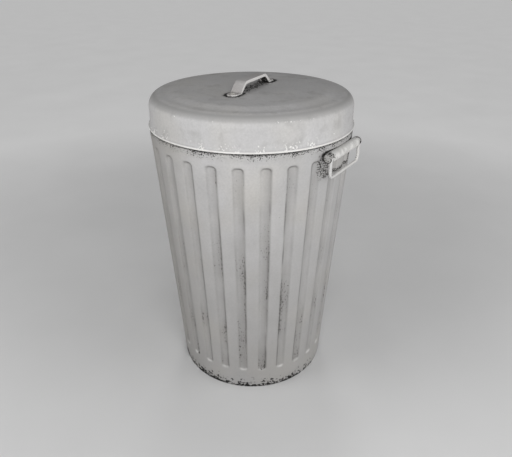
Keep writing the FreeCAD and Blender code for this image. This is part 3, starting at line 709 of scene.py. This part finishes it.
def drawn_wire():
    """Bright drawn steel with fine lines round the ring and a few rust specks."""
    material, tree, shader, place = start_material("drawn_steel_wire")
    round_ring = (WIRE_STRETCH, WIRE_STRETCH, 1.0)
    rings = add_node(tree, "ShaderNodeMapping", {0: place, 3: round_ring})
    lines = add_node(
        tree, "ShaderNodeTexNoise", {"Vector": rings, "Scale": 1 / WIRE_LINE_SIZE, "Detail": 3.0},
    )
    greys = {0: lines, 6: linear("#7f8183"), 7: linear("#a5a7a8")}
    steel = add_node(tree, "ShaderNodeMix", greys, output=2, data_type="RGBA")
    rust = worn_spots(tree, place, SPECK_SIZE, RUST_SPREAD)
    rusted = {0: rust, 6: steel, 7: linear("#5b3f2c")}
    colour = add_node(tree, "ShaderNodeMix", rusted, output=2, data_type="RGBA")
    metal = add_node(tree, "ShaderNodeMapRange", {0: rust, **WIRE_METAL})
    rough = add_node(tree, "ShaderNodeMapRange", {0: lines, **WIRE_ROUGHNESS})
    tree.links.new(colour, shader.inputs["Base Color"])
    tree.links.new(metal, shader.inputs["Metallic"])
    tree.links.new(rough, shader.inputs["Roughness"])
    return material


def studio_floor_paint():
    """Matt pale floor with a faint cloudiness; it glows for the camera away from the bin, where the
    lamps don't reach, and keeps the bin's shadow."""
    material, tree, shader, place = start_material("pale_matt_floor")
    clouds = add_node(
        tree, "ShaderNodeTexNoise", {"Vector": place, "Scale": 1 / FLOOR_PATCH_SIZE, "Detail": 4.0},
    )
    greys = {0: clouds, 6: linear("#d2d2d2"), 7: linear("#dcdcdc")}
    colour = add_node(tree, "ShaderNodeMix", greys, output=2, data_type="RGBA")
    tree.links.new(colour, shader.inputs["Base Color"])
    shader.inputs["Roughness"].default_value = FLOOR_ROUGHNESS
    distance = add_node(tree, "ShaderNodeVectorMath", {0: place}, output="Value", operation="LENGTH")
    far_off = add_node(tree, "ShaderNodeMapRange", {0: distance, **FLOOR_GLOW})
    ray = add_node(tree, "ShaderNodeLightPath").node.outputs
    seen = ray["Is Camera Ray"]
    for other in (ray["Is Glossy Ray"], ray["Is Transmission Ray"]):
        seen = add_node(tree, "ShaderNodeMath", {0: seen, 1: other}, operation="MAXIMUM")
    glow = add_node(tree, "ShaderNodeMath", {0: seen, 1: far_off}, operation="MULTIPLY")
    tree.links.new(colour, shader.inputs["Emission Color"])
    tree.links.new(glow, shader.inputs["Emission Strength"])
    return material


WALL_PAINT = wall_paint()
LID_PAINT = lid_paint()
STRAP_PAINT = strap_paint()
HOOD_PAINT = hood_paint()
BAIL_PAINT = bail_paint()
RIVET_PAINT = rivet_paint()
GALVANISED = galvanised_steel()
WIRE = drawn_wire()


# Modelling steps that several pieces share

def start_piece(name):
    """A new object whose mesh is one vertex at the origin, left in edit mode."""
    bpy.ops.object.select_all(action="DESELECT")
    bpy.ops.mesh.primitive_plane_add(size=SHEET)
    piece = bpy.context.active_object
    piece.name = name
    piece.data.name = name
    bpy.ops.object.mode_set(mode="EDIT")
    bpy.ops.mesh.select_all(action="SELECT")
    bpy.ops.mesh.merge(type="CENTER")
    return piece


def draw_chain(points):
    """Moves the vertex to the first point and extrudes it through the rest."""
    previous = Vector(points[0])
    bpy.ops.transform.translate(value=previous)
    for point in map(Vector, points[1:]):
        bpy.ops.mesh.extrude_region_move(TRANSFORM_OT_translate={"value": point - previous})
        previous = point


def spun_piece(name, outline, steps):
    """An outline of radius and height turned once about Z, with its faces pointing outwards."""
    piece = start_piece(name)
    draw_chain([(radius, 0.0, height) for radius, height in outline])
    bpy.ops.mesh.select_all(action="SELECT")
    bpy.ops.mesh.spin(steps=steps, angle=math.tau, center=(0, 0, 0), axis=(0, 0, 1))
    bpy.ops.mesh.select_all(action="SELECT")
    bpy.ops.mesh.remove_doubles(threshold=MERGE_DISTANCE)
    bpy.ops.mesh.normals_make_consistent(inside=False)
    bpy.ops.object.mode_set(mode="OBJECT")
    return piece


def bar_piece(name, section, width):
    """A closed section of length and height drawn out to a width, half to each side."""
    piece = start_piece(name)
    draw_chain([(along, -width / 2, rise) for along, rise in section])
    bpy.ops.mesh.select_all(action="SELECT")
    bpy.ops.mesh.edge_face_add()
    bpy.ops.mesh.extrude_region_move(TRANSFORM_OT_translate={"value": (0.0, width, 0.0)})
    bpy.ops.mesh.select_all(action="SELECT")
    bpy.ops.mesh.normals_make_consistent(inside=False)
    bpy.ops.object.mode_set(mode="OBJECT")
    return piece


def face_outwards(piece, height):
    """Turns all faces round if the one nearest a height on the outside points inwards."""
    faces = [face for face in piece.data.polygons if face.center.xy.length > BASE_RADIUS]
    nearest = min(faces, key=lambda face: abs(face.center.z - height))
    if nearest.normal.xy.dot(nearest.center.xy) < 0:
        bpy.ops.object.mode_set(mode="EDIT")
        bpy.ops.mesh.select_all(action="SELECT")
        bpy.ops.mesh.flip_normals()
        bpy.ops.object.mode_set(mode="OBJECT")


def apply_modifier(piece, kind, **settings):
    """Adds a modifier with its settings and applies it."""
    modifier = piece.modifiers.new(kind.lower(), kind)
    for name, value in settings.items():
        setattr(modifier, name, value)
    bpy.context.view_layer.objects.active = piece
    bpy.ops.object.modifier_apply(modifier=modifier.name)


def thicken(piece, sheet, outside, inside):
    """Gives a skin the sheet's thickness inwards, with one material on each side."""
    piece.data.materials.append(outside)
    piece.data.materials.append(inside)
    apply_modifier(piece, "SOLIDIFY", thickness=sheet, offset=-1.0, use_even_offset=True, material_offset=1)


def finish_piece(piece, body, slot, *nodes):
    """Smooths a finished piece, hangs it on its body and hides the parts it stands in for."""
    bpy.ops.object.select_all(action="DESELECT")
    piece.select_set(True)
    bpy.context.view_layer.objects.active = piece
    bpy.ops.object.transform_apply(location=True, rotation=True, scale=True)
    bpy.ops.object.shade_smooth_by_angle(angle=SMOOTH_ANGLE)
    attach(piece, body)
    if nodes:
        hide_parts(*nodes)
    return piece


# Can wall

def wall_rows():
    """Heights of the wall's rows between its bends: close together at the flutes' ends."""
    steps = range(-ROWS_BEYOND, round(END_REACH / END_ROW))
    lower = [FLUTE_LOW + END_ROW * step for step in steps]
    upper = [FLUTE_HIGH - END_ROW * step for step in steps]
    span = upper[-1] - lower[-1]
    count = round(span / MIDDLE_ROW)
    middle = [lower[-1] + span * step / count for step in range(1, count)]
    return [FLUTE_LOW / 2] + lower + middle + upper[::-1]


def wall_outline():
    """The sheet's outer face from the lip inside the hem, under it and up to the curled rim."""
    lower = [
        (wall_radius(HEM_HEIGHT) - HEM_WIDTH, HEM_HEIGHT),
        (BASE_RADIUS - HEM_WIDTH, 0.0),
        (BASE_RADIUS, 0.0),
        (wall_radius(FLUTE_LOW / 2), FLUTE_LOW / 2),
    ]
    upper = [
        (wall_radius(FLUTE_HIGH), FLUTE_HIGH),
        (SHOULDER_RADIUS, SHOULDER_HEIGHT),
        (NECK_RADIUS, SHOULDER_HEIGHT),
        (NECK_RADIUS, RIM_CURL_HEIGHT - RIM_CURL),
    ]
    middle = [(wall_radius(height), height) for height in wall_rows()]
    curl_centre = (NECK_RADIUS + RIM_CURL, RIM_CURL_HEIGHT)
    outline = rounded(lower, [HEM_BEND, HEM_BEND], ARC_STEPS)[:-1] + middle
    outline += rounded(upper, [SHOULDER_BEND, NECK_BEND], ARC_STEPS)[1:]
    return outline + arc(curl_centre, RIM_CURL, math.pi, -CURL_SWEEP, CURL_STEPS)


def flute_place(place):
    """How far a point lies to the right of its flute's middle, and the flute's half width there."""
    pitch = math.tau / FLUTE_COUNT
    azimuth = math.atan2(place.y, place.x)
    from_centre = math.remainder(azimuth - pitch / 2, pitch)
    share = (place.z - FLUTE_LOW) / (FLUTE_HIGH - FLUTE_LOW)
    half_width = (FLUTE_LOW_WIDTH + (FLUTE_HIGH_WIDTH - FLUTE_LOW_WIDTH) * share) / 2
    return from_centre * place.xy.length, half_width


def flute_press(place):
    """How far a point of the wall is pressed in: 0 on the lands, 1 on a flute's floor."""
    to_right, half_width = flute_place(place)
    half_height = (FLUTE_HIGH - FLUTE_LOW) / 2
    beyond = Vector((
        abs(to_right) - half_width + FLUTE_CORNER,
        abs(place.z - FLUTE_LOW - half_height) - half_height + FLUTE_CORNER,
    ))
    outside = Vector((max(beyond.x, 0.0), max(beyond.y, 0.0))).length
    inside_by = FLUTE_CORNER - outside - min(max(beyond.x, beyond.y), 0.0)
    run = FLUTE_SIDE_RUN + 2 * FLUTE_EDGE_ROUND
    depth = min(max((inside_by + FLUTE_EDGE_ROUND) / run, 0.0), 1.0)
    return depth * depth * (3 - 2 * depth)


def make_can_wall():
    """The whole wall spun from its outline, with the flutes pressed in and the sheet's thickness given."""
    wall = spun_piece("can_wall_sheet", wall_outline(), FLUTE_COUNT * COLUMNS_PER_FLUTE)
    face_outwards(wall, SHOULDER_HEIGHT / 2)
    on_outside = HEM_WIDTH / 2
    press = wall.vertex_groups.new(name="press")
    depths = []
    shares = []
    for vertex in wall.data.vertices:
        outer = vertex.co.xy.length > wall_radius(vertex.co.z) - on_outside
        depths.append(flute_press(vertex.co) if outer else 0.0)
        press.add([vertex.index], depths[-1], "REPLACE")
        to_right, half_width = flute_place(vertex.co)
        shares.append(0.5 + to_right / (2 * half_width))
    wall.data.attributes.new("pressed", "FLOAT", "POINT").data.foreach_set("value", depths)
    wall.data.attributes.new("across", "FLOAT", "POINT").data.foreach_set("value", shares)
    apply_modifier(wall, "DISPLACE", strength=-FLUTE_DEPTH, mid_level=0.0, vertex_group="press")
    thicken(wall, SHEET, WALL_PAINT, GALVANISED)
    return finish_piece(wall, "can", "can_paint", "can_wall")


def make_lock_seam():
    """The folded strip that closes the rolled sheet, flat on the land nearest the back."""
    bpy.ops.object.select_all(action="DESELECT")
    bpy.ops.mesh.primitive_cube_add(size=1.0)
    seam = bpy.context.active_object
    seam.name = "can_lock_seam"
    seam.data.materials.append(WALL_PAINT)
    low = Vector((wall_radius(SEAM_LOW), 0.0, SEAM_LOW))
    high = Vector((wall_radius(SEAM_HIGH), 0.0, SEAM_HIGH))
    seam.scale = (2 * SEAM_RISE, SEAM_WIDTH, (high - low).length)
    seam.location = (low + high) / 2
    seam.rotation_euler = (0.0, math.atan2(high.x - low.x, high.z - low.z), 0.0)
    bpy.ops.object.transform_apply(location=True, rotation=True, scale=True)
    apply_modifier(seam, "BEVEL", width=SEAM_EDGE, segments=3, limit_method="NONE")
    seam.rotation_euler = (0.0, 0.0, SEAM_AZIMUTH)
    return finish_piece(seam, "can", "can_paint")


# Lid

def make_lid():
    """Pressed cap whose skirt flares out over the wire in its lower edge."""
    bead_centre = (LID_BEAD_RADIUS, LID_BEAD_HEIGHT)
    bead = arc(bead_centre, LID_BEAD, LID_FLARE_ANGLE, -LID_BEAD_SWEEP, CURL_STEPS)
    flare_run = bead[0][0] - SKIRT_RADIUS
    flare_height = bead[0][1] + flare_run / math.tan(LID_FLARE_ANGLE)
    top = [
        (0.0, LID_PANEL_HEIGHT),
        (LID_CROWN_RADIUS, LID_PANEL_HEIGHT),
        (LID_CROWN_FOOT, LID_PANEL_HEIGHT - LID_CROWN),
        (SKIRT_RADIUS, LID_PANEL_HEIGHT - LID_CROWN),
        (SKIRT_RADIUS, flare_height),
        bead[0],
    ]
    bends = [LID_CROWN_BEND, LID_CROWN_BEND, LID_CORNER, LID_FLARE_BEND]
    lid = spun_piece("lid_cap", rounded(top, bends, 2 * ARC_STEPS) + bead[1:], LID_COLUMNS)
    face_outwards(lid, (LID_BEAD_HEIGHT + LID_PANEL_HEIGHT) / 2)
    thicken(lid, LID_SHEET, LID_PAINT, GALVANISED)
    return finish_piece(lid, "lid", "lid_paint", "lid_shell")


def make_strap():
    """Strap bent up between two flat, round-ended feet, hollow below, its edges rubbed soft."""
    path = [
        (-STRAP_END, STRAP_SHEET),
        (-STRAP_FOOT, STRAP_SHEET),
        (-STRAP_TOP, STRAP_RISE),
        (STRAP_TOP, STRAP_RISE),
        (STRAP_FOOT, STRAP_SHEET),
        (STRAP_END, STRAP_SHEET),
    ]
    upper = rounded(path, [STRAP_FOOT_BEND, STRAP_TOP_BEND, STRAP_TOP_BEND, STRAP_FOOT_BEND], ARC_STEPS)
    lower = [(along, max(rise, 0.0)) for along, rise in below(upper, STRAP_EDGE_DEPTH)]
    strap = bar_piece("lid_strap_handle", upper + lower[::-1], STRAP_WIDTH)
    strap.data.materials.append(STRAP_PAINT)

    hollow = [(along, rise) for along, rise in below(upper, STRAP_SHEET) if rise > MERGE_DISTANCE]
    open_below = [(hollow[-1][0], -STRAP_SHEET), (hollow[0][0], -STRAP_SHEET)]
    cutter = bar_piece("strap_hollow", hollow + open_below, STRAP_WIDTH - 2 * STRAP_SHEET)
    apply_modifier(strap, "BOOLEAN", operation="DIFFERENCE", object=cutter, solver="EXACT")
    bpy.data.objects.remove(cutter)

    bpy.ops.object.mode_set(mode="EDIT")
    bpy.ops.mesh.select_mode(type="EDGE")
    bpy.ops.mesh.select_all(action="DESELECT")
    bpy.ops.object.mode_set(mode="OBJECT")
    for edge in strap.data.edges:
        ends = [strap.data.vertices[index].co for index in edge.vertices]
        at_end = min(abs(end.x) for end in ends) > STRAP_END - MERGE_DISTANCE
        edge.select = at_end and abs(ends[0].y - ends[1].y) < MERGE_DISTANCE
    bpy.ops.object.mode_set(mode="EDIT")
    end_round = STRAP_WIDTH / 2 - MERGE_DISTANCE
    bpy.ops.mesh.bevel(affect="EDGES", offset=end_round, segments=2 * ARC_STEPS)
    bpy.ops.object.mode_set(mode="OBJECT")
    apply_modifier(strap, "BEVEL", width=STRAP_ROUNDED_EDGE, segments=3, limit_method="ANGLE")
    strap.rotation_euler = (0.0, 0.0, STRAP_TURN)
    strap.location = (0.0, 0.0, LID_PANEL_HEIGHT)
    return finish_piece(strap, "lid", "handle_paint", "lid_handle")


make_can_wall()
make_lock_seam()
make_lid()
make_strap()

NODE_MATERIALS = {
    "can_wall": WALL_PAINT,
    "can_rim_wire": WIRE,
    "can_bottom": GALVANISED,
    "right_handle_hood": HOOD_PAINT,
    "left_handle_hood": HOOD_PAINT,
    "right_bail": BAIL_PAINT,
    "left_bail": BAIL_PAINT,
    "lid_shell": LID_PAINT,
    "lid_edge_wire": WIRE,
    "lid_handle": STRAP_PAINT,
    "lid_handle_rivets": RIVET_PAINT,
    "lid_rivet_washers": GALVANISED,
}
for name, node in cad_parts.items():
    node.data.materials.clear()
    node.data.materials.append(NODE_MATERIALS[name])


# Floor, light and camera

VIEW_AZIMUTH = 34.07


def add_softbox(name, off_view, reach, height, size, power):
    """Square lamp at an angle from the photo's view, aimed at the bin's axis at the shoulder."""
    lamp = bpy.data.lights.new(name, "AREA")
    lamp.shape = "SQUARE"
    lamp.size = size
    lamp.energy = power
    box = bpy.data.objects.new(name, lamp)
    bpy.context.scene.collection.objects.link(box)
    turn = math.radians(VIEW_AZIMUTH + off_view)
    box.location = (reach * math.sin(turn), -reach * math.cos(turn), height)
    towards = Vector((0.0, 0.0, SHOULDER_HEIGHT)) - box.location
    box.rotation_euler = towards.to_track_quat("-Z", "Y").to_euler()
    return box


FLOOR_SIZE = 60.0
bpy.ops.object.select_all(action="DESELECT")
bpy.ops.mesh.primitive_grid_add(x_subdivisions=4, y_subdivisions=4, size=FLOOR_SIZE)
floor = bpy.context.active_object
floor.name = "studio_floor"
floor.data.materials.append(studio_floor_paint())

add_softbox("key_softbox", off_view=8.0, reach=1.35, height=1.10, size=0.9, power=12.0)
add_softbox("left_softbox", off_view=-70.0, reach=1.6, height=0.95, size=1.0, power=8.0)
add_softbox("right_softbox", off_view=75.0, reach=1.6, height=0.75, size=1.0, power=6.0)

# The lamp behind is kept narrow and out of reflections, so that it only lifts the bin's far side
BACK_SPREAD = math.radians(60.0)
back = add_softbox("back_softbox", off_view=180.0, reach=1.9, height=0.45, size=0.7, power=5.0)
back.data.spread = BACK_SPREAD
back.visible_glossy = False

WORLD_STRENGTH = 0.26
world = bpy.data.worlds.new("pale_studio")
world.use_nodes = True
surround = world.node_tree.nodes["Background"].inputs
surround["Color"].default_value = linear("#e8e8e8")
surround["Strength"].default_value = WORLD_STRENGTH
bpy.context.scene.world = world
bpy.context.scene.view_settings.view_transform = "Standard"

CAMERA_PLACE = (0.6328, -0.9179, 0.9484)
CAMERA_PITCH = 28.02
LENS = 35.03
SENSOR_WIDTH = 36.0
camera_data = bpy.data.cameras.new("photo_camera")
camera_data.lens = LENS
camera_data.sensor_width = SENSOR_WIDTH
camera = bpy.data.objects.new("photo_camera", camera_data)
bpy.context.scene.collection.objects.link(camera)
camera.location = CAMERA_PLACE
camera.rotation_euler = (math.radians(90.0 - CAMERA_PITCH), 0.0, math.radians(VIEW_AZIMUTH))
bpy.context.scene.camera = camera
